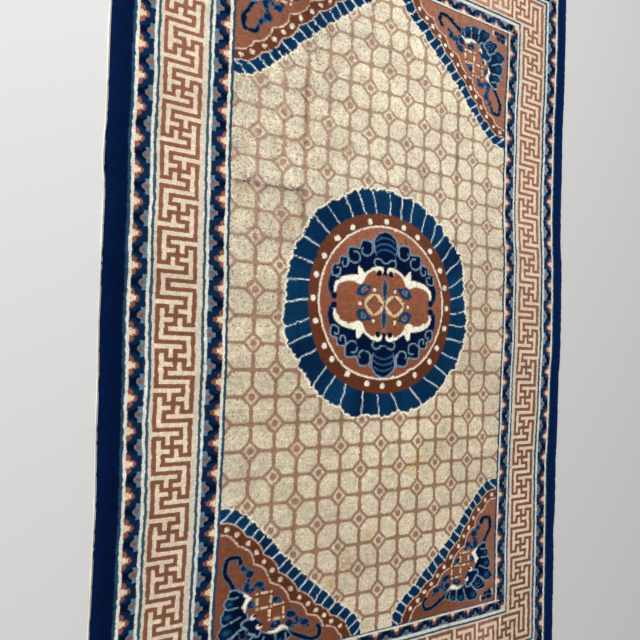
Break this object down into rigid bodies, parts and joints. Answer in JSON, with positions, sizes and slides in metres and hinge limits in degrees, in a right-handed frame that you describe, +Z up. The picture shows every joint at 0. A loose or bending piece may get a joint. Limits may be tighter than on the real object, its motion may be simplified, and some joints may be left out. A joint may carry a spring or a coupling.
{
  "type": "hand-knotted wool rug",
  "caption": "Rectangular hand-knotted wool rug in the old Chinese style, lying flat, with a lattice field, a round medallion, corner pieces and a fret border.",
  "frame": {"origin": "middle of the rug's underside, on the floor", "axes": "+Y along the rug's long side, +X across it, +Z up out of the pile"},
  "size_m": [1.565, 2.3512, 0.0105],
  "materials": {
    "wool": "sheared wool pile in yellow beige, terracotta, copper, ivory and several blues, on a woven cotton ground with a pale rim"
  },
  "bodies": {
    "root": {"rug": "wool"}
  },
  "joints": []
}
